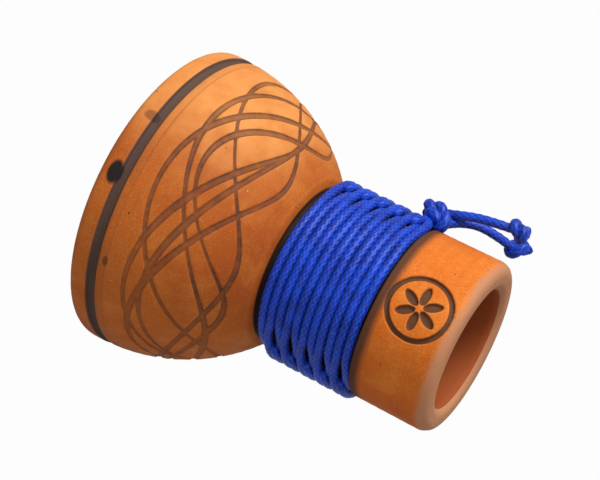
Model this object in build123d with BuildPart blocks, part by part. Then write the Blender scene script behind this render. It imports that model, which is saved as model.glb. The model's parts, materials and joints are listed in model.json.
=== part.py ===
"""Clay hookah bowl with a cord-wound neck.

Two real pieces: one fired-clay body and one long cord. The cord is wound on the neck from its
middle, both ends are gathered in one knot, and each free end has its own stopper knot.
Millimetres. Origin at the centre of the foot's resting ring, +Z up the axis towards the rim,
+X towards the gathering knot.
"""

import os
from math import cos, pi, radians, sin, sqrt, tan

from build123d import *

os.makedirs("parts", exist_ok=True)

# ---- cord and its winding ----
cord_diameter = 2.3
strand_gap = 0.04  # between neighbouring strands
strand_count = 11  # strands seen side by side on the neck
lay_clearance = 0.1  # between the wound cord and the clay

# ---- clay body, outside, from the foot up ----
foot_radius = 22.5
foot_height = 20.6
shoulder_height = 0.6  # low slope from the foot's edge in to the neck
neck_radius = 19.9
neck_gap_below = 0.15  # bare neck under the last strand
neck_gap_above = 1.5  # bare neck over the first strand, in the bowl's shade
bowl_start_radius = 22.4  # where the bowl leaves the neck
bowl_start_rise = 0.5  # height of the small step at the top of the neck
bowl_curve_radius = 49.2  # one arc from the neck to the rim
rim_radius = 40.2  # widest place of the bowl
bowl_height = 41.7  # neck's top to the rim's top

# ---- groove for the foil, and the rim ----
groove_drop = 8.0  # rim's top down to the groove's lower edge
groove_width = 2.3
groove_depth = 1.2
rim_outer_round = 2.4
rim_inner_round = 1.6

# ---- clay body, inside ----
dish_wall = 5.5
dish_depth = 28.0
dish_corner_round = 9.0
bore_radius = 15.5
bore_length = 20.0
chamber_radius = 11.0
chamber_taper_height = 8.0
chamber_roof_round = 4.0
dish_floor_thickness = 7.0
lip_outer_round = 2.8
lip_inner_round = 2.6

# ---- smoke holes through the dish floor ----
vent_diameter = 5.0
vent_ring_radius = 7.2
vent_count = 6

# ---- round stamp pressed into the foot ----
stamp_angle = -81.0  # degrees round the axis from +X
stamp_height = 10.4
stamp_diameter = 16.6
stamp_line_width = 1.3
stamp_depth = 0.7
petal_count = 6
petal_length = 4.8
petal_width = 2.2
petal_gap = 0.9  # from the stamp's centre to a petal's inner end

# ---- crossings, knots and free ends of the cord ----
crossing_radius = 1.75
stopper_radius = 2.6
knot_cord = 2.3  # the knots' sizes below suit a cord this thick
tail_radii_share = 0.45  # arc size allowed by the shorter run beside it

# sizes that follow from the ones above
strand_pitch = cord_diameter + strand_gap
foot_wall = foot_radius - bore_radius
lip_outer_fillet = min(lip_outer_round, 0.45 * foot_wall)
lip_inner_fillet = min(lip_inner_round, 0.45 * foot_wall)
neck_bottom = foot_height + shoulder_height
winding_bottom = neck_bottom + neck_gap_below
winding_top = winding_bottom + strand_count * strand_pitch
neck_top = winding_top + neck_gap_above
rim_top = neck_top + bowl_height
bowl_start = neck_top + bowl_start_rise
dish_floor = rim_top - dish_depth
chamber_roof = dish_floor - dish_floor_thickness

# the bowl's arc is centred so that it starts at the neck and is widest at rim_radius
bowl_centre_x = rim_radius - bowl_curve_radius
bowl_centre_z = bowl_start + sqrt(bowl_curve_radius**2 - (bowl_start_radius - bowl_centre_x) ** 2)
groove_bottom = rim_top - groove_drop
groove_top = groove_bottom + groove_width


def bowl_x(height, wall=0.0):
    """Distance from the axis to the bowl's arc, or to the same arc moved in by a wall."""
    rise = height - bowl_centre_z
    return bowl_centre_x + sqrt((bowl_curve_radius - wall) ** 2 - rise**2)


def strand_height(index):
    """Height of a strand's centre line, counted from the bowl end."""
    return winding_top - (index + 0.5) * strand_pitch


def corner_radii(points):
    """The largest arc that each corner's shorter run leaves room for."""
    radii = []
    for before, here, after in zip(points, points[1:], points[2:]):
        run_in = Vector(*here) - Vector(*before)
        run_out = Vector(*after) - Vector(*here)
        half_turn = radians(run_in.get_angle(run_out)) / 2
        shorter = min(run_in.length, run_out.length)
        radii.append(tail_radii_share * shorter / tan(half_turn))
    return radii


# ---- clay body ----
mid_height = (bowl_start + groove_bottom) / 2
with BuildPart() as clay_bowl:
    with BuildSketch(Plane.XZ) as outside:
        with BuildLine():
            Polyline(
                (0, 0),
                (foot_radius, 0),
                (foot_radius, foot_height),
                (neck_radius, neck_bottom),
                (neck_radius, neck_top),
                (bowl_start_radius, bowl_start),
            )
            ThreePointArc(
                (bowl_start_radius, bowl_start),
                (bowl_x(mid_height), mid_height),
                (bowl_x(groove_bottom), groove_bottom),
            )
            Polyline(
                (bowl_x(groove_bottom), groove_bottom),
                (bowl_x(groove_bottom) - groove_depth, groove_bottom),
                (bowl_x(groove_bottom) - groove_depth, groove_top),
                (rim_radius, groove_top),
                (rim_radius, rim_top),
                (0, rim_top),
                (0, 0),
            )
        make_face()
        fillet(outside.vertices().group_by(Axis.Y)[0].sort_by(Axis.X)[-1], lip_outer_fillet)
        fillet(outside.vertices().group_by(Axis.Y)[-1].sort_by(Axis.X)[-1], rim_outer_round)
    revolve(axis=Axis.Z)

    # dish, its wall parallel to the outside
    with BuildSketch(Plane.XZ) as dish:
        with BuildLine():
            dish_mid = (dish_floor + rim_top) / 2
            Polyline(
                (bowl_x(rim_top, dish_wall), rim_top),
                (0, rim_top),
                (0, dish_floor),
                (bowl_x(dish_floor, dish_wall), dish_floor),
            )
            ThreePointArc(
                (bowl_x(dish_floor, dish_wall), dish_floor),
                (bowl_x(dish_mid, dish_wall), dish_mid),
                (bowl_x(rim_top, dish_wall), rim_top),
            )
        make_face()
        fillet(dish.vertices().group_by(Axis.Y)[0].sort_by(Axis.X)[-1], dish_corner_round)
    revolve(axis=Axis.Z, mode=Mode.SUBTRACT)

    # seat for the stem, narrowing into the smoke chamber
    with BuildSketch(Plane.XZ) as passage:
        with BuildLine():
            Polyline(
                (0, 0),
                (bore_radius, 0),
                (bore_radius, bore_length),
                (chamber_radius, bore_length + chamber_taper_height),
                (chamber_radius, chamber_roof),
                (0, chamber_roof),
                (0, 0),
            )
        make_face()
        fillet(passage.vertices().group_by(Axis.Y)[-1].sort_by(Axis.X)[-1], chamber_roof_round)
    revolve(axis=Axis.Z, mode=Mode.SUBTRACT)

    # rounded edges of the bore's mouth and of the dish's mouth
    bore_mouth = clay_bowl.edges().filter_by(GeomType.CIRCLE).group_by(Axis.Z)[0].sort_by(SortBy.RADIUS)[0]
    fillet(bore_mouth, lip_inner_fillet)
    dish_mouth = clay_bowl.edges().filter_by(GeomType.CIRCLE).group_by(Axis.Z)[-1].sort_by(SortBy.RADIUS)[0]
    fillet(dish_mouth, rim_inner_round)

    # smoke holes
    with BuildSketch(Plane.XY.offset(dish_floor)):
        Circle(vent_diameter / 2)
        with PolarLocations(vent_ring_radius, vent_count):
            Circle(vent_diameter / 2)
    extrude(amount=-dish_floor_thickness - chamber_roof_round, mode=Mode.SUBTRACT)

# the stamp's lines, as thick as they are deep, wrapped on the foot
stamp_direction = Vector(cos(radians(stamp_angle)), sin(radians(stamp_angle)), 0)
stamp_plane = Plane(
    origin=stamp_direction * (foot_radius / 2) + Vector(0, 0, stamp_height),
    x_dir=Vector(-stamp_direction.Y, stamp_direction.X, 0),
    z_dir=stamp_direction,
)
with BuildPart() as stamp_lines:
    with BuildSketch(stamp_plane):
        Circle(stamp_diameter / 2)
        Circle(stamp_diameter / 2 - stamp_line_width, mode=Mode.SUBTRACT)
        with PolarLocations(petal_gap + petal_length / 2, petal_count):
            Ellipse(petal_length / 2, petal_width / 2)
    extrude(amount=foot_radius)
    Cylinder(foot_radius - stamp_depth, 3 * foot_height, mode=Mode.SUBTRACT)

with BuildPart() as stamped_bowl:
    add(clay_bowl.part)
    add(stamp_lines.part, mode=Mode.SUBTRACT)

stamped_bowl.part.label = "clay_bowl"
export_step(stamped_bowl.part, "parts/clay_bowl.step")

# ---- cord wound on the neck: one beaded sleeve, with the crossings on its two ridges ----
lay_radius = neck_radius + lay_clearance
strand_axis_radius = lay_radius + cord_diameter / 2
with BuildPart() as cord_winding:
    with BuildSketch(Plane.XZ):
        with BuildLine():
            for index in range(strand_count):
                centre_z = strand_height(index)
                ThreePointArc(
                    (strand_axis_radius, centre_z + strand_pitch / 2),
                    (strand_axis_radius + cord_diameter / 2, centre_z),
                    (strand_axis_radius, centre_z - strand_pitch / 2),
                )
            Polyline(
                (strand_axis_radius, winding_bottom),
                (lay_radius, winding_bottom),
                (lay_radius, winding_top),
                (strand_axis_radius, winding_top),
            )
        make_face()
    revolve(axis=Axis.Z)
    crossing_reach = lay_radius + 2 * cord_diameter - crossing_radius
    knot_side = [(crossing_reach, 0, strand_height(index + 0.5)) for index in range(0, strand_count - 1, 2)]
    far_side = [(-crossing_reach, 0, strand_height(index + 0.5)) for index in range(1, strand_count, 2)]
    with Locations(*knot_side, *far_side):
        Sphere(crossing_radius)

cord_winding.part.label = "cord_winding"
export_step(cord_winding.part, "parts/cord_winding.step")

# ---- the cord's gathering knot, beside the last strand ----
winding_radius = lay_radius + cord_diameter
last_strand = strand_height(strand_count - 1)
knot_size = cord_diameter / knot_cord


def in_knot(reach, along, rise):
    """A place in the knot, from the winding's outside at the last strand."""
    return (winding_radius + knot_size * reach, knot_size * along, last_strand + knot_size * rise)


# each lobe's reach, place along the winding, rise and radius
knot_lobes = [(4.3, 2.6, 1.5, 2.9), (2.9, 0.9, -0.1, 2.7), (2.5, 4.6, 0.3, 2.8)]
with BuildPart() as gathering_knot:
    for reach, along, rise, lobe_radius in knot_lobes:
        with Locations(in_knot(reach, along, rise)):
            Sphere(knot_size * lobe_radius)
    add(cord_winding.part, mode=Mode.SUBTRACT)
    add(clay_bowl.part, mode=Mode.SUBTRACT)

gathering_knot.part.label = "gathering_knot"
export_step(gathering_knot.part, "parts/gathering_knot.step")

# ---- free ends: each hangs from the knot to its own stopper knot ----
outer_start = in_knot(4.6, 2.5, 0.1)
inner_start = in_knot(2.7, 3.3, -1.3)
tail_routes = {
    "outer": [outer_start, (28.0, 2.4, 19.0), (29.6, 2.2, 13.9), (30.4, 2.4, 8.8), (30.9, 3.0, 3.4)],
    "inner": [inner_start, (27.0, 5.0, 17.7), (28.4, 7.0, 13.6), (28.0, 10.2, 8.6), (27.6, 13.4, 4.2)],
}
for name, route in tail_routes.items():
    radii = corner_radii(route)
    print(f"{name} tail, arc radii in mm:", [round(radius, 1) for radius in radii])
    stopper_name = f"{name}_stopper_knot"
    with BuildPart() as stopper_knot:
        with Locations(route[-1]):
            Sphere(knot_size * stopper_radius)
    stopper_knot.part.label = stopper_name
    export_step(stopper_knot.part, f"parts/{stopper_name}.step")

    with BuildPart() as tail:
        with BuildLine() as tail_path:
            FilletPolyline(*route, radius=radii)
        with BuildSketch(Plane(origin=tail_path.line @ 0, z_dir=tail_path.line % 0)):
            Circle(cord_diameter / 2)
        sweep()
        add(gathering_knot.part, mode=Mode.SUBTRACT)
        add(stopper_knot.part, mode=Mode.SUBTRACT)
        add(clay_bowl.part, mode=Mode.SUBTRACT)
    section = pi * cord_diameter**2 / 4
    print(f"{name} tail, free length in mm:", round(tail.part.volume / section, 1))
    tail.part.label = f"{name}_tail"
    export_step(tail.part, f"parts/{name}_tail.step")
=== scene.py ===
import math
import json

import bpy
import bmesh
import numpy as np
from mathutils import Matrix, Vector, noise

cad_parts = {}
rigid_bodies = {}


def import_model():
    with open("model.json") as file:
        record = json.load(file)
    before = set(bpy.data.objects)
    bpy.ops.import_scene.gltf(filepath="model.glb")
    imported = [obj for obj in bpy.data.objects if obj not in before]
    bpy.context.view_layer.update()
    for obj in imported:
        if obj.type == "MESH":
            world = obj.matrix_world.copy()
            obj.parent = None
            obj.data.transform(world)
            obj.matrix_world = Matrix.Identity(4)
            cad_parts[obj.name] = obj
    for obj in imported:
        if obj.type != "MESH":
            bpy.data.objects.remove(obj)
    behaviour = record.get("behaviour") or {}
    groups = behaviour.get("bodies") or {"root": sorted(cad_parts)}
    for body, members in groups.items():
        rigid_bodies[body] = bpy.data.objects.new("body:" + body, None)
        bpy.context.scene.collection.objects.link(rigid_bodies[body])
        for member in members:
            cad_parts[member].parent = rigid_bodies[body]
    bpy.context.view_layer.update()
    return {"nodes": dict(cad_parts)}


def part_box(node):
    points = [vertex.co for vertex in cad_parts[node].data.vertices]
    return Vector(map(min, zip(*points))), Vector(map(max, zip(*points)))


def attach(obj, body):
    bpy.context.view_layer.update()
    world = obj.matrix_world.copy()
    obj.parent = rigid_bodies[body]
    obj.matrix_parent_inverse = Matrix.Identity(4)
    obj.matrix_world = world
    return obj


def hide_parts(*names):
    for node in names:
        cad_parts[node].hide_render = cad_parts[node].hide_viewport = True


mm = 0.001
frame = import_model()
print("frame loaded:", sorted(frame["nodes"]))


# ---------- small helpers ----------

def putInScene(name, data):
    thing = bpy.data.objects.new(name, data)
    bpy.context.scene.collection.objects.link(thing)
    return thing


def finished(thing):
    # the object's shape once its modifiers have run, as a plain mesh
    bpy.context.view_layer.update()
    return bpy.data.meshes.new_from_object(thing.evaluated_get(bpy.context.evaluated_depsgraph_get()))


def feed(tree, socket, value):
    # a socket is linked, anything else is set as the input's own value
    if isinstance(value, bpy.types.NodeSocket):
        tree.links.new(value, socket)
    else:
        socket.default_value = value


def addNode(tree, kind, settings=None, inputs=None):
    node = tree.nodes.new(kind)
    for name, value in (settings or {}).items():
        setattr(node, name, value)
    for key, value in (inputs or {}).items():
        feed(tree, node.inputs[key], value)
    return node


def maths(tree, operation, *values):
    node = addNode(tree, "ShaderNodeMath", {"operation": operation})
    for i, value in enumerate(values):
        feed(tree, node.inputs[i], value)
    return node.outputs[0]


def vectorMaths(tree, operation, *values):
    node = addNode(tree, "ShaderNodeVectorMath", {"operation": operation})
    for i, value in enumerate(values):
        feed(tree, node.inputs[i], value)
    return node.outputs["Value"] if operation in ("LENGTH", "DOT_PRODUCT", "DISTANCE") else node.outputs[0]


def tint(red, green, blue):
    # a display colour, 0 to 255, as Blender's linear colour
    def linear(v):
        v = v / 255
        return v / 12.92 if v < 0.04045 else ((v + 0.055) / 1.055) ** 2.4
    return (linear(red), linear(green), linear(blue), 1.0)


def blendColour(tree, share, first, second):
    node = addNode(tree, "ShaderNodeMix", {"data_type": "RGBA"}, {0: share, 6: first, 7: second})
    return node.outputs[2]


def ramp(tree, value, low, high, toLow=0.0, toHigh=1.0):
    ends = {"Value": value, "From Min": low, "From Max": high, "To Min": toLow, "To Max": toHigh}
    node = addNode(tree, "ShaderNodeMapRange", {"interpolation_type": "SMOOTHSTEP"}, ends)
    return node.outputs["Result"]


def noiseValue(tree, coords, scale, detail, roughness):
    inputs = {"Vector": coords, "Scale": scale, "Detail": detail, "Roughness": roughness}
    return addNode(tree, "ShaderNodeTexNoise", inputs=inputs).outputs["Fac"]


# ---------- camera ----------

view = {
    "eye": (5.26 * mm, -377.9 * mm, -82.7 * mm),
    "lookUp": 19.55,  # degrees over the horizon
    "roll": -63.15,
    "lens": 96.2,
}


def addCamera():
    data = bpy.data.cameras.new("camera")
    data.lens = view["lens"]
    data.sensor_width = 36
    data.clip_start = 0.01
    camera = putInScene("camera", data)
    turn = Matrix.Rotation(math.radians(90 + view["lookUp"]), 4, "X")
    turn = turn @ Matrix.Rotation(math.radians(view["roll"]), 4, "Z")
    camera.matrix_world = Matrix.Translation(view["eye"]) @ turn
    bpy.context.scene.camera = camera


addCamera()
print("camera placed")


# ---------- cord material ----------

cordLook = {
    # painted shade and light: valley is the braid's shaded blue, crown its lit blue
    "valleyShade": tint(2, 8, 92),
    "crownLit": tint(4, 72, 210),
    # pale blue, partly wax on the cord and partly painted highlight
    "waxAndHighlight": tint(60, 124, 250),
    "burnt": tint(6, 8, 22),
    "roughness": 0.40,
}


def makeCordMaterial():
    material = bpy.data.materials.new("waxedBlueCord")
    material.use_nodes = True
    tree = material.node_tree
    shader = tree.nodes["Principled BSDF"]
    coords = addNode(tree, "ShaderNodeTexCoord").outputs["Object"]
    weave = addNode(tree, "ShaderNodeAttribute", {"attribute_name": "weave"}).outputs["Fac"]
    fibre = noiseValue(tree, coords, 4200, 3.0, 0.65)
    cloudy = noiseValue(tree, coords, 230, 3.0, 0.55)
    burnt = addNode(tree, "ShaderNodeAttribute", {"attribute_name": "burnt"}).outputs["Fac"]
    # painted shade: the braid's valleys, where the weave dips, are painted dark blue and its crowns lit blue,
    # mixed with random tone from the fibre and cloud noise
    lift = maths(tree, "MULTIPLY_ADD", fibre, 0.7, maths(tree, "MULTIPLY", weave, 0.46))
    lift = maths(tree, "MULTIPLY_ADD", cloudy, 0.55, maths(tree, "SUBTRACT", lift, 0.34))
    colour = blendColour(tree, ramp(tree, lift, 0.15, 0.95), cordLook["valleyShade"], cordLook["crownLit"])
    # pale blue patches: partly wax on the cord, partly painted highlight
    waxAndHighlightShare = ramp(tree, noiseValue(tree, coords, 1900, 3.0, 0.7), 0.56, 0.74, 0.0, 0.5)
    colour = blendColour(tree, waxAndHighlightShare, colour, cordLook["waxAndHighlight"])
    colour = blendColour(tree, ramp(tree, burnt, 0.2, 0.9, 0.0, 0.95), colour, cordLook["burnt"])
    feed(tree, shader.inputs["Base Color"], colour)
    rough = ramp(tree, fibre, 0.3, 0.7, cordLook["roughness"] - 0.08, cordLook["roughness"] + 0.12)
    feed(tree, shader.inputs["Roughness"], rough)
    shader.inputs["Specular IOR Level"].default_value = 0.30
    shader.inputs["Sheen Weight"].default_value = 0.04
    shader.inputs["Sheen Roughness"].default_value = 0.4
    bump = addNode(tree, "ShaderNodeBump", inputs={"Height": fibre})
    bump.inputs["Strength"].default_value = 0.7
    bump.inputs["Distance"].default_value = 0.1 * mm
    feed(tree, shader.inputs["Normal"], bump.outputs["Normal"])
    return material


cordMaterial = makeCordMaterial()


# ---------- braided cord, a Geometry Nodes tree that follows any curve ----------

cord = {
    "diameter": 2.3 * mm,
    "stitch": 0.95 * mm,  # length of one stitch of the braid
    "stitchesAround": 6,
    "relief": 0.14 * mm,
    "ringSpacing": 0.25 * mm,
    "sides": 26,
    "flare": 0.32 * mm,  # melted ends spread a little
    "flareLength": 1.3 * mm,
}


def makeBraidTree():
    tree = bpy.data.node_groups.new("braidedCord", "GeometryNodeTree")
    tree.interface.new_socket(name="Geometry", in_out="INPUT", socket_type="NodeSocketGeometry")
    for name in ("Diameter", "Stitch", "Stitches Around", "Relief", "Ring Spacing", "Flare", "Flare Length"):
        tree.interface.new_socket(name=name, in_out="INPUT", socket_type="NodeSocketFloat")
    tree.interface.new_socket(name="Sides", in_out="INPUT", socket_type="NodeSocketInt")
    tree.interface.new_socket(name="Material", in_out="INPUT", socket_type="NodeSocketMaterial")
    tree.interface.new_socket(name="Geometry", in_out="OUTPUT", socket_type="NodeSocketGeometry")
    given = tree.nodes.new("NodeGroupInput").outputs
    result = tree.nodes.new("NodeGroupOutput").inputs

    def store(geometry, kind, name, value):
        node = addNode(tree, "GeometryNodeStoreNamedAttribute", {"data_type": kind, "domain": "POINT"})
        feed(tree, node.inputs["Geometry"], geometry)
        feed(tree, node.inputs["Name"], name)
        feed(tree, node.inputs["Value"], value)
        return node.outputs[0]

    def stored(kind, name):
        node = addNode(tree, "GeometryNodeInputNamedAttribute", {"data_type": kind})
        node.inputs["Name"].default_value = name
        return node.outputs["Attribute"]

    rings = addNode(tree, "GeometryNodeResampleCurve", {"mode": "LENGTH"},
                    {"Curve": given["Geometry"], "Length": given["Ring Spacing"]})
    place = tree.nodes.new("GeometryNodeInputPosition").outputs[0]
    along = tree.nodes.new("GeometryNodeSplineParameter").outputs["Length"]
    whole = tree.nodes.new("GeometryNodeSplineLength").outputs["Length"]
    path = store(rings.outputs[0], "FLOAT", "along", along)
    path = store(path, "FLOAT", "left", maths(tree, "SUBTRACT", whole, along))
    path = store(path, "FLOAT_VECTOR", "axisPoint", place)

    radius = maths(tree, "MULTIPLY", given["Relief"], -0.25)
    radius = maths(tree, "MULTIPLY_ADD", given["Diameter"], 0.5, radius)
    circle = addNode(tree, "GeometryNodeCurvePrimitiveCircle",
                     inputs={"Resolution": given["Sides"], "Radius": radius})
    factor = tree.nodes.new("GeometryNodeSplineParameter").outputs["Factor"]
    section = store(circle.outputs[0], "FLOAT", "around", factor)

    girth = tree.nodes.new("GeometryNodeInputRadius").outputs[0]
    tube = addNode(tree, "GeometryNodeCurveToMesh",
                   inputs={"Curve": path, "Profile Curve": section, "Scale": girth, "Fill Caps": True})
    # bumps in a diamond lattice stand for the stitches of a round braid
    turn = maths(tree, "MULTIPLY", stored("FLOAT", "around"), given["Stitches Around"])
    turn = maths(tree, "MULTIPLY", turn, math.tau)
    run = maths(tree, "DIVIDE", stored("FLOAT", "along"), given["Stitch"])
    run = maths(tree, "MULTIPLY", run, math.pi)
    lattice = maths(tree, "MULTIPLY", maths(tree, "COSINE", turn), maths(tree, "COSINE", run))
    weave = maths(tree, "MULTIPLY_ADD", lattice, 0.5, 0.5)
    outward = vectorMaths(tree, "SUBTRACT", place, stored("FLOAT_VECTOR", "axisPoint"))
    outward = vectorMaths(tree, "NORMALIZE", outward)
    height = maths(tree, "MULTIPLY", maths(tree, "SUBTRACT", weave, 0.5), given["Relief"])
    melted = ramp(tree, stored("FLOAT", "left"), 0.0, given["Flare Length"], 1.0, 0.0)
    height = maths(tree, "MULTIPLY_ADD", melted, given["Flare"], height)
    push = addNode(tree, "ShaderNodeVectorMath", {"operation": "SCALE"}, {0: outward, "Scale": height})
    woven = store(tube.outputs[0], "FLOAT", "weave", weave)
    moved = addNode(tree, "GeometryNodeSetPosition", inputs={"Geometry": woven, "Offset": push.outputs[0]})
    smooth = addNode(tree, "GeometryNodeSetShadeSmooth", inputs={"Geometry": moved.outputs[0]})
    real = addNode(tree, "GeometryNodeRealizeInstances", inputs={"Geometry": smooth.outputs[0]})
    painted = addNode(tree, "GeometryNodeSetMaterial",
                      inputs={"Geometry": real.outputs[0], "Material": given["Material"]})
    feed(tree, result["Geometry"], painted.outputs[0])
    return tree


braidTree = makeBraidTree()


def runNodes(host, tree, values):
    # sets the inputs by their identifiers, then keeps the result as a plain mesh
    modifier = host.modifiers.new(tree.name, "NODES")
    modifier.node_group = tree
    for item in tree.interface.items_tree:
        if item.in_out == "INPUT" and item.name in values:
            modifier[item.identifier] = values[item.name]
    mesh = finished(host)
    host.modifiers.remove(modifier)
    return mesh


def routeCurve(name, points, girths=None):
    # one open NURBS spline with the route's points as its control points
    data = bpy.data.curves.new(name, "CURVE")
    data.dimensions = "3D"
    data.resolution_u = 12
    spline = data.splines.new("NURBS")
    spline.points.add(len(points) - 1)
    for target, point in zip(spline.points, points):
        target.co = (*point, 1.0)
    if girths:
        spline.points.foreach_set("radius", girths)
    spline.order_u = 3
    spline.use_endpoint_u = True
    return putInScene(name + "Route", data)


def openEnd(mesh, place):
    # the melted end is hollow: its cap is sunk and darkened
    built = bmesh.new()
    built.from_mesh(mesh)
    caps = [face for face in built.faces if len(face.verts) > 8]
    cap = min(caps, key=lambda face: (face.calc_center_median() - place).length)
    burnt = built.verts.layers.float.new("burnt")
    bmesh.ops.inset_region(built, faces=[cap], thickness=0.38 * mm, depth=0.0)
    bmesh.ops.inset_region(built, faces=[cap], thickness=0.2 * mm, depth=-0.55 * mm)
    for vertex in cap.verts:
        vertex[burnt] = 1.0
    built.to_mesh(mesh)
    built.free()


def braidedPiece(name, points, girths=None):
    curve = routeCurve(name, points, girths)
    endsFree = girths is not None
    plain = finished(curve)
    line = [tuple(vertex.co) for vertex in plain.vertices]
    mesh = runNodes(curve, braidTree, {
        "Diameter": cord["diameter"],
        "Stitch": cord["stitch"],
        "Stitches Around": float(cord["stitchesAround"]),
        "Relief": cord["relief"],
        "Ring Spacing": cord["ringSpacing"],
        "Flare": cord["flare"] if endsFree else 0.0,
        "Flare Length": cord["flareLength"],
        "Sides": cord["sides"],
        "Material": cordMaterial,
    })
    mesh.name = name
    if endsFree:
        openEnd(mesh, points[-1])
    piece = putInScene(name, mesh)
    bpy.data.objects.remove(curve)
    bpy.data.meshes.remove(plain)
    return piece, line


# ---------- the two free ends, knots and all ----------

# an overhand knot's far half, in cord diameters: its middle at y 1.85, the cord leaving along +z
overhandHalf = [
    (0.0, 1.85, 0.0), (-0.7, 1.75, -0.3), (-1.15, 1.25, -0.7), (-1.0, 0.55, -0.95), (-0.4, 0.05, -0.9),
    (0.25, 0.1, -0.5), (0.5, 0.6, 0.05), (0.2, 0.95, 0.6), (0.1, 1.0, 1.35),
]
overhandMiddle = 0.95  # the knot's own centre along y


def overhand(centre, axis, spin, size):
    # the near half is the far half turned by half a turn about y; the centre is in mm
    far = [Vector((x, y - overhandMiddle, z)) for x, y, z in overhandHalf]
    near = [Vector((-p.x, p.y, -p.z)) for p in far[1:]]
    turn = Vector((0, 0, 1)).rotation_difference(Vector(axis)).to_matrix()
    turn = turn @ Matrix.Rotation(math.radians(spin), 3, "Z")
    return [Vector(centre) * mm + turn @ (p * size * cord["diameter"]) for p in near[::-1] + far]


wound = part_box("cord_winding")
strandCount = 11
pitch = (wound[1].z - wound[0].z) / strandCount
laidRadius = wound[1].y - cord["diameter"] / 2  # cord's centre line on the neck


def onNeck(degrees, height, lift=0.0):
    angle = math.radians(degrees)
    reach = laidRadius + lift
    return Vector((reach * math.cos(angle), reach * math.sin(angle), height))


def strandHeight(index):
    return wound[1].z - (index + 0.5) * pitch


lastStrand = strandHeight(strandCount - 1)
tails = {
    "outerTail": {
        "leavesAt": 34,  # degrees round the neck
        "approach": [(21.9, 8.0, 22.6), (24.2, 5.4, 24.6)],
        "gather": {"centre": (26.4, 2.4, 23.9), "axis": (0.38, 0.05, -0.92), "spin": 335, "size": 0.88},
        "route": [(28.0, 2.4, 19.0), (29.6, 2.2, 13.9), (30.4, 2.4, 8.8)],
        "stopper": {"centre": (30.9, 3.0, 3.4), "axis": (0.1, 0.15, -0.98), "spin": 100, "size": 0.70},
        "end": [(31.9, 4.4, 2.4)],
        "nodes": ["outer_tail", "outer_stopper_knot"],
    },
    "innerTail": {
        "leavesAt": -27,
        "approach": [(21.6, -5.2, 22.4), (22.8, -1.8, 23.0)],
        "gather": {"centre": (24.5, 0.8, 22.4), "axis": (0.25, 0.35, -0.9), "spin": 40, "size": 0.88},
        "route": [(27.0, 5.0, 17.7), (28.4, 7.0, 13.6), (28.0, 10.2, 8.6)],
        "stopper": {"centre": (27.6, 13.4, 4.2), "axis": (0.0, 0.62, -0.78), "spin": 20, "size": 0.66},
        "end": [(29.0, 15.6, 2.2)],
        "nodes": ["inner_tail", "inner_stopper_knot", "gathering_knot"],
    },
}


def tailPoints(tail):
    # the route's points, each with the cord's girth there, fuller where it is squeezed into a knot
    start = [onNeck(tail["leavesAt"], lastStrand)] + [Vector(p) * mm for p in tail["approach"]]
    gather = overhand(**tail["gather"])
    route = [Vector(p) * mm for p in tail["route"]]
    stopper = overhand(**tail["stopper"])
    end = [Vector(p) * mm for p in tail["end"]]
    girths = [1.0] * len(start) + [1.06] + [1.26] * (len(gather) - 2) + [1.06]
    girths += [1.04] * len(route) + [1.0] + [1.1] * (len(stopper) - 2) + [1.0] + [1.05] * len(end)
    return start + gather + route + stopper + end, girths


def lineLength(line):
    return sum((Vector(b) - Vector(a)).length for a, b in zip(line, line[1:]))


for name, tail in tails.items():
    piece, line = braidedPiece(name, *tailPoints(tail))
    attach(piece, "root")
    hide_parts(*tail["nodes"])


# ---------- the winding: two halves of one cord, linked with each other on both ridges ----------

ridge = {
    # reach, legs and gap in degrees; spread and squeeze in strand pitches
    "knotSide": {"reach": 14.0, "legs": 8.5, "gap": 24.0, "spread": 0.18, "squeeze": 0.17},
    "farSide": {"reach": 18.0, "legs": 12.0, "gap": 31.0, "spread": 0.30, "squeeze": 0.10},
    "lift": 0.88,  # height of an upper strand over a lower one, in diameters
    "step": 11.0,
    "uneven": 0.07,  # strands wander by this share of their pitch
}


def linkPoints(sizes, upperFirst, top, bottom):
    # a tight loop round the other half's loop: one leg on top of it, the other leg under it
    lift = ridge["lift"] * cord["diameter"]
    middle = (top + bottom) / 2
    spread, squeeze = sizes["spread"] * pitch, sizes["squeeze"] * pitch
    first, second = (lift, 0.0) if upperFirst else (0.0, lift)
    return [
        (sizes["gap"], first * 0.12, top + spread),
        (sizes["legs"] * 1.3, first * 0.75, top + spread * 0.2),
        (sizes["legs"] * 0.4, first, top - squeeze),
        (-sizes["legs"] * 0.6, first * 0.96 + second * 0.04, top - squeeze * 1.3),
        (-sizes["reach"] * 0.86, first * 0.8 + second * 0.2, top - 0.22 * pitch),
        (-sizes["reach"], (first + second) / 2, middle),
        (-sizes["reach"] * 0.86, second * 0.8 + first * 0.2, bottom + 0.22 * pitch),
        (-sizes["legs"] * 0.6, second * 0.96 + first * 0.04, bottom + squeeze * 1.3),
        (sizes["legs"] * 0.4, second, bottom + squeeze),
        (sizes["legs"] * 1.3, second * 0.75, bottom - spread * 0.2),
        (sizes["gap"], second * 0.12, bottom - spread),
    ]


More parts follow.
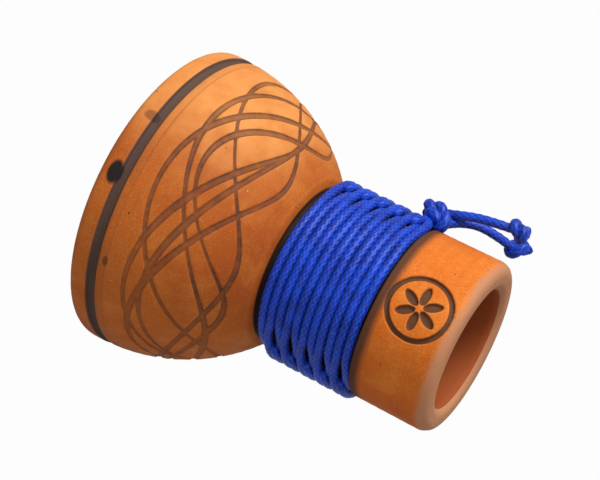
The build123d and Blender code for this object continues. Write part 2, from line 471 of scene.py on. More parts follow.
def windingPoints(side, leavesAt):
    # angles count from the knot's ridge, 180 being the far ridge
    uneven = np.random.default_rng(7 + side)
    points = [(180.0, 0.0, strandHeight(0)), (172.0, 0.0, strandHeight(0))]
    for index in range(strandCount):
        height = strandHeight(index)
        towardsKnot = index % 2 == 0
        last = index == strandCount - 1
        near = abs(leavesAt) if last else ridge["knotSide"]["gap"] + ridge["step"]
        far = 180 - (8.0 + ridge["step"] if index == 0 else ridge["farSide"]["gap"] + ridge["step"])
        steps = max(2, round((far - near) / ridge["step"]))
        run = [far + (near - far) * i / steps for i in range(steps + 1)]
        for angle in run if towardsKnot else run[::-1]:
            points.append((angle, 0.0, height + ridge["uneven"] * pitch * uneven.uniform(-1, 1)))
        if last:
            break
        sizes = ridge["knotSide"] if towardsKnot else ridge["farSide"]
        link = linkPoints(sizes, side < 0, height, strandHeight(index + 1))
        for angle, lift, z in link:
            points.append((angle if towardsKnot else 180 - angle, lift, z))
    return [onNeck(side * angle, z, lift) for angle, lift, z in points]


for name, side, tail in (("frontWinding", -1, "innerTail"), ("backWinding", 1, "outerTail")):
    piece, line = braidedPiece(name, windingPoints(side, tails[tail]["leavesAt"]))
    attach(piece, "root")
    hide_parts("cord_winding")
    print(f"{name}: {lineLength(line) * 1000:.0f} mm of cord, {len(piece.data.polygons)} faces")


# ---------- clay body: a turned outline, finest where it is cut ----------

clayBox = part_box("clay_bowl")
clay = {
    "rimRadius": clayBox[1].x,
    "rimTop": clayBox[1].z,
    "arcRadius": 49.2 * mm,  # one arc from the neck to the rim
    "dishWall": 5.5 * mm,
    "dishDepth": 28.0 * mm,
    "dishCorner": 9.0 * mm,
    "rimOuter": 2.4 * mm,
    "rimInner": 1.6 * mm,
    "grooveDrop": 8.0 * mm,
    "grooveWidth": 2.3 * mm,
    "grooveDepth": 0.8 * mm,
    "stepRadius": 22.4 * mm,
    "stepRise": 0.5 * mm,
    "neckAbove": 1.5 * mm,  # bare neck over the first strand
    "neckBelow": 0.15 * mm,
    "neckRadius": laidRadius - cord["diameter"] / 2 - 0.1 * mm,
    "shoulder": 0.6 * mm,
    "footRadius": 22.5 * mm,
    "lipOuter": 2.8 * mm,
    "lipInner": 2.6 * mm,
    "boreRadius": 15.5 * mm,
    "boreLength": 20.0 * mm,
    "chamberRadius": 11.0 * mm,
    "taper": 8.0 * mm,
    "roofRound": 4.0 * mm,
    "floorThickness": 7.0 * mm,
    "grooveRound": 0.45 * mm,  # rounding at the groove's edges
    "footRound": 0.6 * mm,  # rounding at the foot's upper edge
    "coarseColumns": 150,
    "fineColumns": 480,
}


def arc(centre, radius, start, end, spacing):
    # points on an arc, angles in degrees from the +r direction towards +z
    steps = max(2, round(abs(math.radians(end - start)) * radius / spacing))
    angles = [math.radians(start + (end - start) * i / steps) for i in range(steps + 1)]
    return [(centre[0] + radius * math.cos(a), centre[1] + radius * math.sin(a)) for a in angles]


def straight(start, end, spacing):
    steps = max(1, round(math.dist(start, end) / spacing))
    return [(start[0] + (end[0] - start[0]) * i / steps, start[1] + (end[1] - start[1]) * i / steps)
            for i in range(steps + 1)]


def clayOutline():
    # stretches of the outline from the middle of the dish, over the rim, down the outside and up the bore
    # the last value of each stretch is the spacing of its rows
    c = clay
    rimR, rimZ, arcR = c["rimRadius"], c["rimTop"], c["arcRadius"]
    neckR, stepR, footR = c["neckRadius"], c["stepRadius"], c["footRadius"]
    boreR, chamberR, lipOut, lipIn = c["boreRadius"], c["chamberRadius"], c["lipOuter"], c["lipInner"]
    soft, edge = c["grooveRound"], c["footRound"]
    neckTop = wound[1].z + c["neckAbove"]
    neckBottom = wound[0].z - c["neckBelow"]
    stepZ = neckTop + c["stepRise"]
    centreR = rimR - arcR
    centreZ = stepZ + math.sqrt(arcR**2 - (stepR - centreR) ** 2)
    centre = (centreR, centreZ)
    inner = arcR - c["dishWall"]

    def wallR(z, radius):
        return centreR + math.sqrt(radius**2 - (z - centreZ) ** 2)

    def wallAngle(z, radius=arcR):
        return math.degrees(math.asin((z - centreZ) / radius))

    floor = rimZ - c["dishDepth"]
    cornerZ = floor + c["dishCorner"]
    cornerR = centreR + math.sqrt((inner - c["dishCorner"]) ** 2 - (cornerZ - centreZ) ** 2)
    cornerEnd = math.degrees(math.atan2(cornerZ - centreZ, cornerR - centreR))
    innerLip = rimZ - c["rimInner"]
    mouthR = wallR(innerLip, inner) + c["rimInner"]
    rimLow = rimZ - c["rimOuter"]
    grooveLow = rimZ - c["grooveDrop"]
    grooveHigh = grooveLow + c["grooveWidth"]
    grooveR = wallR(grooveLow, arcR) - c["grooveDepth"]
    edgeR = wallR(grooveLow - soft, arcR) - soft
    shoulderTop = neckBottom - c["shoulder"] + 0.1 * mm
    shoulderLow = shoulderTop - edge
    roof = floor - c["floorThickness"]
    roofLow = roof - c["roofRound"]
    roofR = chamberR - c["roofRound"]
    boreTop = c["boreLength"]
    chamberZ = boreTop + c["taper"]
    ornamentTop = grooveLow - 1.6 * mm
    ornamentLow = neckTop + 1.2 * mm
    top, low = wallAngle(ornamentTop), wallAngle(ornamentLow)
    return [
        # dish, and over the rim
        ("coarse", straight((0, floor), (cornerR, floor), 1.6 * mm)),
        ("coarse", arc((cornerR, cornerZ), c["dishCorner"], -90, cornerEnd, 1.1 * mm)),
        ("coarse", arc(centre, inner, cornerEnd, wallAngle(innerLip, inner), 1.6 * mm)),
        ("coarse", arc((mouthR, innerLip), c["rimInner"], 180, 90, 0.4 * mm)),
        ("fine", straight((mouthR, rimZ), (rimR - c["rimOuter"], rimZ), 0.7 * mm)),
        ("fine", arc((rimR - c["rimOuter"], rimLow), c["rimOuter"], 90, 0, 0.5 * mm)),
        ("fine", straight((rimR, rimLow), (rimR, grooveHigh + soft), 0.6 * mm)),
        # groove
        ("fine", arc((rimR - soft, grooveHigh + soft), soft, 0, -75, 0.22 * mm)),
        ("fine", [(grooveR + 0.25 * mm, grooveHigh - 0.05 * mm), (grooveR, grooveHigh - 0.35 * mm)]),
        ("fine", straight((grooveR, grooveHigh - 0.35 * mm), (grooveR, grooveLow + 0.35 * mm), 0.4 * mm)),
        ("fine", straight((grooveR + 0.25 * mm, grooveLow + 0.05 * mm),
                          (edgeR, grooveLow + 0.02 * mm), 0.3 * mm)),
        ("fine", arc((edgeR, grooveLow - soft), soft, 75, 0, 0.22 * mm)),
        # the ornamented wall, down to the neck
        ("fine", arc(centre, arcR, wallAngle(grooveLow - 0.8 * mm), top, 0.5 * mm)),
        ("fine", arc(centre, arcR, top, low, 0.42 * mm)),
        ("coarse", arc(centre, arcR, low, wallAngle(stepZ + 0.3 * mm), 0.3 * mm)),
        ("coarse", [(stepR - 0.5 * mm, stepZ - 0.05 * mm), (neckR + 0.5 * mm, neckTop),
                    (neckR, neckTop - 0.5 * mm)]),
        ("coarse", straight((neckR, neckTop - 2 * mm), (neckR, neckBottom + 0.5 * mm), 3.0 * mm)),
        # foot
        ("foot", straight((neckR + 0.2 * mm, neckBottom), (footR - edge, shoulderTop + 0.04 * mm), 0.7 * mm)),
        ("foot", arc((footR - edge, shoulderLow), edge, 80, 0, 0.2 * mm)),
        ("foot", straight((footR, shoulderLow - 0.2 * mm), (footR, lipOut), 0.24 * mm)),
        ("foot", arc((footR - lipOut, lipOut), lipOut, -8, -90, 0.45 * mm)),
        ("coarse", straight((footR - lipOut - 0.4 * mm, 0), (boreR + lipIn, 0), 0.6 * mm)),
        # bore and chamber
        ("coarse", arc((boreR + lipIn, lipIn), lipIn, -98, -180, 0.5 * mm)),
        ("coarse", straight((boreR, lipIn + 0.6 * mm), (boreR, boreTop), 1.4 * mm)),
        ("coarse", straight((boreR - 0.4 * mm, boreTop + 0.7 * mm), (chamberR, chamberZ), 1.5 * mm)),
        ("coarse", straight((chamberR, chamberZ + 2 * mm), (chamberR, roofLow), 3.0 * mm)),
        ("coarse", arc((roofR, roofLow), c["roofRound"], 12, 90, 0.9 * mm)),
        ("coarse", straight((roofR - 1.2 * mm, roof), (0, roof), 2.0 * mm)),
    ]


# ---------- what is cut into the clay ----------

ornament = {
    # peak's place round the bowl in degrees, its height and the trough's in mm, waves per turn
    "strokes": [
        (-147.0, 73.8, 53.2, 2), (-125.5, 75.3, 56.4, 2), (-84.0, 76.0, 56.8, 2), (-55.0, 73.6, 56.6, 2),
        (-20.0, 73.3, 53.5, 2), (-130.0, 70.9, 56.2, 2), (-70.0, 69.0, 53.6, 3),
    ],
    "nib": 42.0,  # the flat tool's slant in degrees
    "thin": 0.38 * mm,  # half widths of a stroke along the nib and across it
    "wide": 0.92 * mm,
    "wander": 0.35 * mm,
    "depth": 0.36 * mm,
    "burr": 0.06 * mm,
}
stamp = {
    "angle": -81.0,
    "height": 10.4 * mm,
    "radius": 8.3 * mm,
    "line": 1.3 * mm,
    "depth": 0.75 * mm,
    "petals": 6,
    "petalInner": 0.9 * mm,
    "petalLength": 4.8 * mm,
    "petalWidth": 2.2 * mm,
}
chance = np.random.default_rng(41)


def trough(distance, half, depth):
    # a groove with steep sides, its middle left a little higher where the stroke is wide
    share = np.clip(1 - (distance / half) ** 2, 0, 1)
    wideEnough = np.clip((half - 0.45 * mm) / (0.15 * mm), 0, 1)
    spine = 1 - 0.45 * np.exp(-((distance / (0.2 * mm)) ** 2)) * wideEnough
    return -depth * share**0.6 * spine


def ornamentCut(theta, radius, arcLength, heights, lengths):
    # waves that cross one another round the bowl, each one stroke of a flat tool that keeps its slant
    push = np.zeros_like(theta)
    edge = np.full_like(theta, -1.0 * mm)
    for peak, high, low, waves in ornament["strokes"]:
        wobble = chance.uniform(-1, 1, 4)
        angle = waves * (theta - math.radians(peak))
        swing = (high - low) / 2 * mm
        height = (high + low) / 2 * mm + swing * np.cos(angle)
        wander = wobble[0] * np.sin(3 * theta + 3 * wobble[1]) + wobble[2] * np.sin(5 * theta)
        height = height + ornament["wander"] * wander
        slope = -waves * swing * np.sin(angle) / radius
        travel = np.interp(height, heights, lengths)
        distance = np.abs(arcLength - travel) / np.sqrt(1 + slope**2)
        slant = np.abs(np.sin(np.arctan(slope) - math.radians(ornament["nib"])))
        pressure = 1 + 0.12 * np.sin(4 * theta + 6 * wobble[3])
        half = (ornament["thin"] + (ornament["wide"] - ornament["thin"]) * slant) * pressure
        push = np.minimum(push, trough(distance, half, ornament["depth"] * (0.6 + 0.5 * slant) * pressure))
        burr = ornament["burr"] * np.exp(-(((distance - half * 1.15) / (0.2 * mm)) ** 2))
        push = np.where(push < -0.02 * mm, push, np.maximum(push, burr))
        edge = np.maximum(edge, half - distance)
    return push, edge


def stampCut(theta, z):
    # a plain ring with six petals, wrapped on the foot
    across = (theta - math.radians(stamp["angle"])) * clay["footRadius"]
    up = z - stamp["height"]
    reach = np.hypot(across, up)
    inside = stamp["line"] / 2 - np.abs(reach - stamp["radius"] + stamp["line"] / 2)
    angle = np.arctan2(up, across)
    part = math.tau / stamp["petals"]
    local = (angle + part / 2) % part - part / 2
    alongPetal = reach * np.cos(local) - stamp["petalInner"] - stamp["petalLength"] / 2
    acrossPetal = reach * np.sin(local)
    oval = np.hypot(alongPetal / (stamp["petalLength"] / 2), acrossPetal / (stamp["petalWidth"] / 2))
    petal = (1 - oval) * stamp["petalWidth"] / 2
    inside = np.maximum(inside, petal)
    steep = np.clip(inside / (0.32 * mm) + 0.35, 0, 1)
    return -stamp["depth"] * steep**2 * (3 - 2 * steep), inside


pits = {"count": 80, "small": 0.18 * mm, "large": 0.42 * mm, "depth": 0.2 * mm}
bigPit = {"angle": -144.0, "height": 55.8 * mm, "radius": 0.75 * mm, "depth": 0.5 * mm}


def pitPush(positions):
    # small holes left by grit that fell out
    push = np.zeros(len(positions))
    angles = chance.uniform(-math.pi, math.pi, pits["count"])
    heights = chance.uniform(1 * mm, clay["rimTop"], pits["count"])
    sizes = chance.uniform(pits["small"], pits["large"], pits["count"])
    sizes *= chance.uniform(0.5, 1, pits["count"])
    radii = np.hypot(positions[:, 0], positions[:, 1])
    turn = np.arctan2(positions[:, 1], positions[:, 0])
    spots = list(zip(angles, heights, sizes, [pits["depth"]] * pits["count"]))
    spots.append((math.radians(bigPit["angle"]), bigPit["height"], bigPit["radius"], bigPit["depth"]))
    for angle, height, size, depth in spots:
        across = (np.remainder(turn - angle + math.pi, math.tau) - math.pi) * radii
        distance = np.hypot(across, positions[:, 2] - height)
        push -= depth * np.exp(-((distance / size) ** 2) * 1.6) * (size / pits["large"])
    return push


def ringAngles(kind):
    if kind == "coarse":
        return np.arange(clay["coarseColumns"]) * math.tau / clay["coarseColumns"] - math.pi
    if kind == "fine":
        return np.arange(clay["fineColumns"]) * math.tau / clay["fineColumns"] - math.pi
    middle = math.radians(stamp["angle"])
    reach = math.radians(25)
    close = np.linspace(middle - reach, middle + reach, 150, endpoint=False)
    rest = np.linspace(middle + reach, middle - reach + math.tau, 110, endpoint=False)
    return np.sort(np.remainder(np.concatenate([close, rest]) + math.pi, math.tau) - math.pi)


def zipRings(first, second, firstAngles, secondAngles):
    # triangles between two closed rings whose points stand at different angles
    faces = []
    i = j = 0
    n, m = len(first), len(second)
    while i < n or j < m:
        nextFirst = firstAngles[i + 1] if i + 1 < n else firstAngles[0] + math.tau
        nextSecond = secondAngles[j + 1] if j + 1 < m else secondAngles[0] + math.tau
        if j >= m or (i < n and nextFirst <= nextSecond):
            faces.append((first[i % n], first[(i + 1) % n], second[j % m]))
            i += 1
        else:
            faces.append((first[i % n], second[(j + 1) % m], second[j % m]))
            j += 1
    return faces


def clayMesh():
    stretches = clayOutline()
    rows = []
    for kind, points in stretches:
        for point in points:
            if rows and math.dist(point, rows[-1][1]) < 0.05 * mm:
                continue
            rows.append((kind, point))
    outline = np.array([point for kind, point in rows])
    steps = np.linalg.norm(np.diff(outline, axis=0), axis=1)
    lengths = np.concatenate([[0], np.cumsum(steps)])
    tangents = np.gradient(outline, axis=0)
    tangents /= np.linalg.norm(tangents, axis=1)[:, None]
    normals = np.stack([-tangents[:, 1], tangents[:, 0]], 1)

    # heights against lengths on the ornamented wall, to measure across a cut
    grooveLow = clay["rimTop"] - clay["grooveDrop"]
    wall = [i for i, (kind, (r, z)) in enumerate(rows) if kind == "fine" and z < grooveLow and r > 23 * mm]
    order = np.argsort(outline[wall, 1])
    wallHeights = outline[wall, 1][order]
    wallLengths = lengths[wall][order]

    faces = []
    thetas, radii, heights, arcs, outs, kinds = [], [], [], [], [], []
    count = 0
    rings = []
    for i, (kind, (r, z)) in enumerate(rows):
        if r < 1e-7:
            rings.append(([count], None))
            angles = np.array([0.0])
        else:
            angles = ringAngles(kind)
            rings.append((list(range(count, count + len(angles))), angles))
        count += len(angles)
        thetas.append(angles)
        radii.append(np.full(len(angles), r))
        heights.append(np.full(len(angles), z))
        arcs.append(np.full(len(angles), lengths[i]))
        outs.append(np.repeat(normals[i][None], len(angles), 0))
        kinds.append(np.full(len(angles), {"coarse": 0, "fine": 1, "foot": 2}[kind]))
    theta, radius, z, run = map(np.concatenate, (thetas, radii, heights, arcs))
    out, kind = np.concatenate(outs), np.concatenate(kinds)

    flat = np.stack([radius * np.cos(theta), radius * np.sin(theta), z], 1)
    push = np.zeros(len(theta))
    cut = np.full(len(theta), -1.0 * mm)
    stamped = np.full(len(theta), -1.0 * mm)
    outside = (kind == 1) & (z < grooveLow)
    some, edge = ornamentCut(theta[outside], radius[outside], run[outside], wallHeights, wallLengths)
    push[outside] += some
    cut[outside] = edge
    foot = (kind == 2) & (z > 1.0 * mm)
    some, edge = stampCut(theta[foot], z[foot])
    push[foot] += some
    stamped[foot] = edge

    # the body is thrown and trimmed by hand: faint rings, a little unevenness and a fine skin
    wave = np.array([noise.noise(Vector(p) * 28) for p in flat])
    skin = np.array([noise.noise(Vector(p) * 900) + 0.5 * noise.noise(Vector(p) * 2300) for p in flat])
    thrown = np.sin(run / (2.6 * mm) * math.tau + 1.5 * wave)
    open_ = (kind > 0)
    push += 0.16 * mm * wave * (z > 1 * mm) + 0.016 * mm * skin * open_ + 0.02 * mm * thrown * open_
    push[kind > 0] += pitPush(flat[kind > 0])
    resting = (z < 0.05 * mm) | (z > clay["rimTop"] - 0.02 * mm)
    push[resting] = np.minimum(push[resting], 0)

    positions = flat.copy()
    positions[:, 0] += push * out[:, 0] * np.cos(theta)
    positions[:, 1] += push * out[:, 0] * np.sin(theta)
    positions[:, 2] += push * out[:, 1]
    positions[:, 2] = np.clip(positions[:, 2], 0, clay["rimTop"])

    for (first, firstAngles), (second, secondAngles) in zip(rings, rings[1:]):
        if firstAngles is None:
            faces += [(first[0], second[(j + 1) % len(second)], second[j]) for j in range(len(second))]
        elif secondAngles is None:
            faces += [(first[j], first[(j + 1) % len(first)], second[0]) for j in range(len(first))]
        elif len(first) == len(second):
            n = len(first)
            ahead = [(j + 1) % n for j in range(n)]
            faces += [(first[j], first[k], second[k], second[j]) for j, k in enumerate(ahead)]
        else:
            faces += zipRings(first, second, firstAngles, secondAngles)
    mesh = bpy.data.meshes.new("clayBody")
    mesh.from_pydata([tuple(p) for p in positions], [], faces)
    # 0 outside, 1 in the dish, 2 in the bore and the chamber
    rimRow = next(i for i, (kindName, point) in enumerate(rows) if kindName == "fine")
    footRow = max(i for i, (kindName, point) in enumerate(rows) if kindName == "foot")
    zone = np.where(run < lengths[rimRow], 1.0, np.where(run > lengths[footRow] + 4 * mm, 2.0, 0.0))
    # how far a point is inside a cut or the stamp's lines, in mm
    for name, values in (("zone", zone), ("cut", cut * 1000), ("stamped", stamped * 1000)):
        attribute = mesh.attributes.new(name, "FLOAT", "POINT")
        attribute.data.foreach_set("value", values.astype(np.float32))
    mesh.update()
    built = bmesh.new()
    built.from_mesh(mesh)
    bmesh.ops.recalc_face_normals(built, faces=built.faces)
    built.to_mesh(mesh)
    built.free()
    mesh.shade_smooth()
    return mesh


# ---------- vents through the dish floor ----------

vents = {"count": 6, "ringRadius": 7.2 * mm, "radius": 2.5 * mm, "flare": 0.5 * mm, "sides": 28}


def ventCutter(x, y, low, high):
    # a spool: straight through the floor, flared where it leaves the dish side
    radius, flare, sides = vents["radius"], vents["flare"], vents["sides"]
    outline = [(radius, low), (radius, high - flare), (radius + flare * 0.3, high - flare * 0.35),
               (radius + flare, high), (radius + flare * 2.2, high + flare)]
    points, faces = [], []
    for reach, z in outline:
        for j in range(sides):
            angle = j * math.tau / sides
            points.append((x + reach * math.cos(angle), y + reach * math.sin(angle), z))
    for i in range(len(outline) - 1):
        for j in range(sides):
            a, b = i * sides + j, i * sides + (j + 1) % sides
            faces.append((a, b, b + sides, a + sides))
    faces.append(tuple(range(sides))[::-1])
    faces.append(tuple(range((len(outline) - 1) * sides, len(outline) * sides)))
    return points, faces


def cutVents(mesh):
    floor = clay["rimTop"] - clay["dishDepth"]
    low = floor - clay["floorThickness"] - clay["roofRound"] - 1 * mm
    points, faces = [], []
    for index in range(vents["count"] + 1):
        angle = index * math.tau / vents["count"]
        reach = vents["ringRadius"] if index < vents["count"] else 0.0
        more, sides = ventCutter(reach * math.cos(angle), reach * math.sin(angle), low, floor)
        faces += [tuple(v + len(points) for v in face) for face in sides]
        points += more
    cutterMesh = bpy.data.meshes.new("vents")
    cutterMesh.from_pydata(points, [], faces)
    cutter = putInScene("vents", cutterMesh)
    host = putInScene("clayHost", mesh)
    modifier = host.modifiers.new("vents", "BOOLEAN")
    modifier.operation = "DIFFERENCE"
    modifier.solver = "MANIFOLD"
    modifier.object = cutter
    pierced = finished(host)
    bpy.data.objects.remove(host)
    bpy.data.objects.remove(cutter)
    return pierced


# ---------- clay material ----------

clayLook = {
    "bright": tint(214, 126, 42),
    # painted highlight: a pale tint for the key light's sheen on the bowl
    "paintedSheen": tint(236, 156, 80),
    "body": tint(194, 100, 24),
    "deep": tint(168, 76, 10),
    "cut": tint(118, 62, 30),
    "cutDark": tint(76, 46, 32),
    "stamped": tint(72, 50, 36),
    "shoulder": tint(62, 40, 30),
    "groove": tint(66, 54, 50),
    # painted shade on the neck behind the cord
    "neckShade": tint(16, 10, 8),
    "worn": tint(162, 124, 96),
    "speck": tint(238, 196, 150),
    "pit": tint(34, 22, 18),
    "inside": tint(170, 86, 40),
    "bore": tint(132, 62, 26),
    "smudge": tint(32, 24, 22),
    "roughness": 0.70,
}
smudges = [
    # degrees round the axis, height, half width and half height in mm, strength
    (-90.0, 85.9, 3.3, 1.9, 1.0),
    (-67.0, 85.4, 1.5, 2.2, 0.5),
    (-120.0, 80.4, 1.6, 0.8, 0.6),
]


clayMarks = {
    # pairs say where a mark starts and where it is full
    # where the painted highlight of the key light's sheen spreads
    "sheenSide": (3 * mm, 27 * mm),
    "sheenHeight": (50 * mm, 62 * mm),
    "bandLow": (16.8 * mm, 19.4 * mm),
    "bandHigh": (20.9 * mm, 21.1 * mm),
    # where the painted shade on the neck behind the cord starts and ends
    "neckShadeLow": (20.95 * mm, 21.3 * mm),
    "neckShadeHigh": (0.02 * mm, 0.26 * mm),  # over the neck's top
    "sootLow": (-0.2 * mm, 0.3 * mm),  # over the groove's lower edge
    "sootHigh": (0.1 * mm, 0.4 * mm),  # over the groove's upper edge
    "haloLow": (-3.2 * mm, -0.4 * mm),
    "haloHigh": (0.0, 0.4 * mm),
    "scribeDrop": 2.1 * mm,  # the groove's lower edge to the faint line below it
    "scribeHalf": (0.12 * mm, 0.34 * mm),
    "wornTo": (1.0 * mm, 3.2 * mm),
    "holeReach": 29.3 * mm,
    "holeEdge": (0.5 * mm, 0.85 * mm),
}


def makeClayMaterial():
    material = bpy.data.materials.new("terracottaClay")
    material.use_nodes = True
    tree = material.node_tree
    shader = tree.nodes["Principled BSDF"]
    coords = addNode(tree, "ShaderNodeTexCoord").outputs["Object"]
    split = addNode(tree, "ShaderNodeSeparateXYZ", inputs={0: coords}).outputs
    height = split["Z"]
    marks = clayMarks

    def stored(name):
        return addNode(tree, "ShaderNodeAttribute", {"attribute_name": name}).outputs["Fac"]

    def soft(value, ends, toLow=0.0, toHigh=1.0, over=0.0):
        return ramp(tree, value, ends[0] + over, ends[1] + over, toLow, toHigh)

    def times(first, second):
        return maths(tree, "MULTIPLY", first, second)

    def paint(colour, share, name):
        return blendColour(tree, share, colour, clayLook[name])

    cut, stamped, zone = stored("cut"), stored("stamped"), stored("zone")
    cloudy = noiseValue(tree, coords, 26, 3.0, 0.5)
    patches = noiseValue(tree, coords, 130, 4.0, 0.6)
    stretched = vectorMaths(tree, "MULTIPLY", coords, (40.0, 40.0, 900.0))
    streaks = noiseValue(tree, stretched, 1.0, 3.0, 0.55)
    grain = noiseValue(tree, coords, 3400, 3.0, 0.65)
    colour = blendColour(tree, soft(cloudy, (0.30, 0.62)), clayLook["deep"], clayLook["body"])
    colour = paint(colour, soft(patches, (0.40, 0.75), 0.0, 0.5), "bright")
    colour = paint(colour, soft(streaks, (0.50, 0.72), 0.0, 0.16), "deep")
    colour = paint(colour, soft(grain, (0.34, 0.54), 0.5, 0.0), "deep")
    colour = paint(colour, soft(grain, (0.56, 0.72), 0.0, 0.26), "speck")

    # painted highlight: the bowl is painted paler on the knot's side and high up, where the key light's sheen
    # falls
    paintedSheen = times(soft(split["X"], marks["sheenSide"], 0.0, 0.8), soft(height, marks["sheenHeight"]))
    colour = paint(colour, times(paintedSheen, soft(patches, (0.25, 0.6), 0.6, 1.0)), "paintedSheen")

    # inside of the dish, then bore and chamber; the bore and chamber are painted darker, partly a darker clay
    # and partly painted shade
    colour = paint(colour, soft(zone, (0.3, 0.7), 0.0, 0.8), "inside")
    colour = paint(colour, soft(zone, (1.4, 1.7), 0.0, 0.9), "bore")

    # cut lines are painted darker, most along their two edges
    inCut = times(soft(cut, (-0.10, 0.12)), soft(cut, (0.28, 0.60), 1.0, 0.8))
    cutMottle = soft(noiseValue(tree, coords, 420, 3.0, 0.6), (0.35, 0.65))
    cutColour = blendColour(tree, cutMottle, clayLook["cut"], clayLook["cutDark"])
    strength = times(inCut, soft(cloudy, (0.35, 0.65), 0.95, 0.6))
    colour = blendColour(tree, strength, colour, cutColour)
    # the stamp's ring and petals are painted dark
    stampShare = maths(tree, "MULTIPLY_ADD", cutMottle, 0.08, stamped)
    colour = paint(colour, soft(stampShare, (-0.02, 0.12), 0.0, 0.92), "stamped")

    # a dark brown band painted at the foot's upper edge under the cord; painted shade: the neck behind the
    # cord and the inner half of the step over it are painted near black
    waver = maths(tree, "MULTIPLY_ADD", patches, 2.4 * mm, -1.2 * mm)
    wavering = maths(tree, "MULTIPLY_ADD", waver, 0.5, height)
    outside = soft(zone, (0.3, 0.7), 1.0, 0.0)
    neckTop = wound[1].z + clay["neckAbove"]
    band = times(soft(wavering, marks["bandLow"], 0.0, 0.92), soft(height, marks["bandHigh"], 1.0, 0.3))
    colour = paint(colour, times(band, outside), "shoulder")
    # painted shade: the bare neck behind the cord painted near black
    shade = times(soft(height, marks["neckShadeLow"]), soft(height, marks["neckShadeHigh"], 1.0, 0.0, neckTop))
    colour = paint(colour, times(times(shade, 0.97), outside), "neckShade")

    # soot rubbed into the groove under the rim, a faint halo of it below, and a scribed line
    low = clay["rimTop"] - clay["grooveDrop"]
    high = low + clay["grooveWidth"]
    soot = maths(tree, "MULTIPLY_ADD", waver, 0.35, height)
    groove = soft(soot, marks["sootLow"], 0.0, 0.94, low)
    groove = times(groove, soft(height, marks["sootHigh"], 1.0, 0.0, high))
    halo = soft(soot, marks["haloLow"], 0.0, 0.42, low)
    halo = times(halo, soft(height, marks["haloHigh"], 1.0, 0.0, low))
    colour = paint(colour, times(halo, soft(patches, (0.35, 0.6))), "cut")
    colour = paint(colour, times(groove, outside), "groove")
    scribe = maths(tree, "ABSOLUTE", maths(tree, "SUBTRACT", height, low - marks["scribeDrop"]))
    scribed = times(soft(scribe, marks["scribeHalf"], 0.6, 0.0), soft(cloudy, (0.3, 0.6), 1.0, 0.4))
    colour = paint(colour, times(scribed, outside), "cut")

    # worn foot edge
    worn = soft(maths(tree, "ADD", height, times(waver, 1.3)), marks["wornTo"], 0.7, 0.0)
    colour = paint(colour, times(worn, soft(zone, (1.5, 1.9), 1.0, 0.0)), "worn")

    # dark smudges on the rim
    for degrees, level, halfWidth, halfHeight, strength in smudges:
        angle = math.radians(degrees)
        x, y = math.cos(angle), math.sin(angle)
        centre = (clay["rimRadius"] * x, clay["rimRadius"] * y, level * mm)
        away = vectorMaths(tree, "SUBTRACT", coords, centre)
        spread = -0.45
        for axis, reach in (((-y, x, 0.0), halfWidth), ((0.0, 0.0, 1.0), halfHeight), ((x, y, 0.0), 6.0)):
            scaled = tuple(v / (reach * mm) for v in axis)
            along = vectorMaths(tree, "DOT_PRODUCT", away, scaled)
            spread = maths(tree, "ADD", times(along, along), spread)
        spread = maths(tree, "MULTIPLY_ADD", patches, 0.9, spread)
        colour = paint(colour, soft(spread, (0.45, 1.2), strength, 0.0), "smudge")

    # grit: a few dark specks, and fewer pale ones
    for scale, size, share, grit in ((420, 0.13, 0.94, "pit"), (300, 0.08, 0.95, "speck")):
        cells = addNode(tree, "ShaderNodeTexVoronoi", inputs={"Vector": coords})
        cells.inputs["Scale"].default_value = scale
        chosen = addNode(tree, "ShaderNodeSeparateColor", inputs={0: cells.outputs["Color"]}).outputs[0]
        near = soft(cells.outputs["Distance"], (size * 0.6, size), 1.0, 0.0)
        colour = paint(colour, times(near, soft(chosen, (share, share + 0.02), 0.0, 0.85)), grit)
    angle = math.radians(bigPit["angle"])
    hole = (marks["holeReach"] * math.cos(angle), marks["holeReach"] * math.sin(angle), bigPit["height"])
    fromHole = vectorMaths(tree, "DISTANCE", coords, hole)
    colour = paint(colour, soft(fromHole, marks["holeEdge"], 0.97, 0.0), "pit")
    feed(tree, shader.inputs["Base Color"], colour)

    rough = soft(patches, (0.3, 0.7), clayLook["roughness"] + 0.1, clayLook["roughness"] - 0.08)
    feed(tree, shader.inputs["Roughness"], rough)
    shader.inputs["Specular IOR Level"].default_value = 0.16
    relief = maths(tree, "MULTIPLY_ADD", noiseValue(tree, coords, 700, 3.0, 0.6), 1.4, grain)
    bump = addNode(tree, "ShaderNodeBump", inputs={"Height": relief})
    bump.inputs["Strength"].default_value = 0.6
    bump.inputs["Distance"].default_value = 0.09 * mm
    feed(tree, shader.inputs["Normal"], bump.outputs["Normal"])
    return material


body = putInScene("clayBody", cutVents(clayMesh()))
body.data.materials.clear()
body.data.materials.append(makeClayMaterial())
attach(body, "root")
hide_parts("clay_bowl")
triangles = sum(len(face.vertices) - 2 for face in body.data.polygons)
print("clay body:", len(body.data.vertices), "points,", triangles, "triangles")


# ---------- floor, sky and lights ----------

studio = {
    "floorSize": 3.0,
    "floorColour": (0.86, 0.86, 0.85, 1),
    "floorGlow": 0.32,
    "sky": 0.50,
    "backdrop": (0.98, 0.98, 0.98, 1),
    "key": {"aim": (0.78, -0.44, -0.26), "away": 2.2, "size": 1.0, "power": 62.0},
    "fill": {"aim": (-0.10, -0.88, -0.45), "away": 1.8, "size": 1.2, "power": 6.5},
}


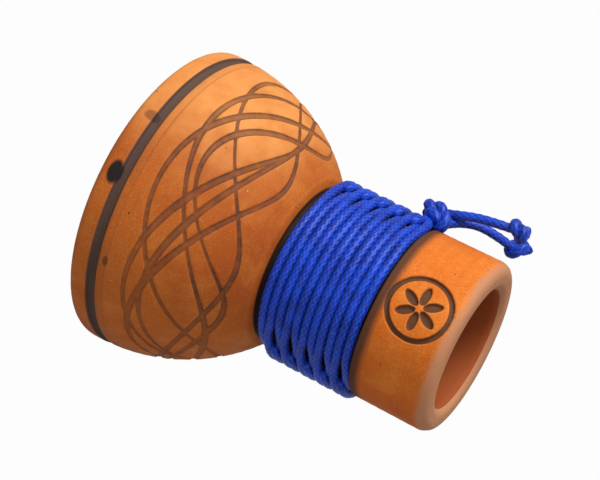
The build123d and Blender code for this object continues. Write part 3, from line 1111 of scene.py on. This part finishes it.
def makeFloorMaterial():
    # seen from above only, so a view from below looks straight through it
    material = bpy.data.materials.new("paleFloor")
    material.use_nodes = True
    tree = material.node_tree
    shader = tree.nodes["Principled BSDF"]
    shader.inputs["Base Color"].default_value = studio["floorColour"]
    shader.inputs["Roughness"].default_value = 0.9
    shader.inputs["Emission Color"].default_value = (1, 1, 1, 1)
    shader.inputs["Emission Strength"].default_value = studio["floorGlow"]
    clear = tree.nodes.new("ShaderNodeBsdfTransparent")
    side = tree.nodes.new("ShaderNodeNewGeometry")
    mix = addNode(tree, "ShaderNodeMixShader",
                  inputs={0: side.outputs["Backfacing"], 1: shader.outputs[0], 2: clear.outputs[0]})
    feed(tree, tree.nodes["Material Output"].inputs["Surface"], mix.outputs[0])
    return material


def addFloor():
    half = studio["floorSize"] / 2
    mesh = bpy.data.meshes.new("floor")
    corners = [(-half, -half, 0), (half, -half, 0), (half, half, 0), (-half, half, 0)]
    mesh.from_pydata(corners, [], [(0, 1, 2, 3)])
    mesh.materials.append(makeFloorMaterial())
    floor = putInScene("floor", mesh)
    floor.visible_shadow = False
    floor.visible_diffuse = False
    floor.visible_glossy = False


def addSky():
    world = bpy.data.worlds.new("sky")
    bpy.context.scene.world = world
    world.use_nodes = True
    tree = world.node_tree
    soft = tree.nodes["Background"]
    soft.inputs["Color"].default_value = (1, 1, 1, 1)
    soft.inputs["Strength"].default_value = studio["sky"]
    # the backdrop itself looks brighter than the light it gives
    pale = addNode(tree, "ShaderNodeBackground", inputs={"Color": studio["backdrop"], "Strength": 1.0})
    seen = tree.nodes.new("ShaderNodeLightPath").outputs["Is Camera Ray"]
    mix = addNode(tree, "ShaderNodeMixShader", inputs={0: seen, 1: soft.outputs[0], 2: pale.outputs[0]})
    feed(tree, tree.nodes["World Output"].inputs["Surface"], mix.outputs[0])
    bpy.context.scene.view_settings.view_transform = "Standard"


def addLight(name, light):
    data = bpy.data.lights.new(name, "AREA")
    data.shape = "DISK"
    data.size = light["size"]
    data.energy = light["power"]
    lamp = putInScene(name, data)
    aim = Vector(light["aim"]).normalized()
    middle = Vector((0, 0, clay["rimTop"] / 2))
    turn = aim.to_track_quat("Z", "Y").to_matrix().to_4x4()
    lamp.matrix_world = Matrix.Translation(middle + aim * light["away"]) @ turn


addFloor()
addSky()
addLight("key", studio["key"])
addLight("fill", studio["fill"])
print("floor, sky and lights placed")
